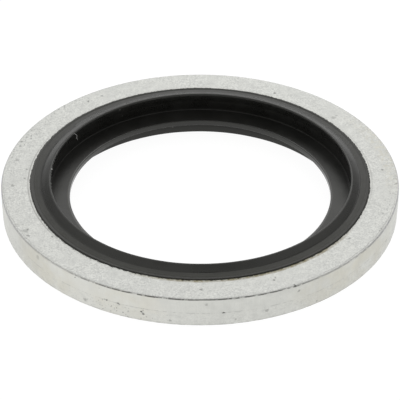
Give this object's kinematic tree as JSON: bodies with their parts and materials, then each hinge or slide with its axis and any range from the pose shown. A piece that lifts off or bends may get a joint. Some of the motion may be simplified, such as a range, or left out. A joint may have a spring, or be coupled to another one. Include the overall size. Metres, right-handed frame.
{
  "type": "bonded sealing washer",
  "caption": "Flat steel ring with a black rubber seal bonded in its bore: a raised lip on each face and a thin inner web that grips the thread and centres it.",
  "frame": {"origin": "on the axis, at the level that the crest of the lower rubber lip rests on", "axes": "+Z along the axis, up out of the face that the picture shows; X and Y lie in the plane of the ring"},
  "size_m": [0.0318, 0.0318, 0.0039],
  "materials": {
    "steel": "bright zinc plating over blanked mild steel, matt and slightly mottled, with faint yellow stains",
    "rubber": "black moulded nitrile rubber, semi-matt"
  },
  "bodies": {
    "root": {"steel_ring": "steel", "rubber_seal": "rubber"}
  },
  "joints": []
}
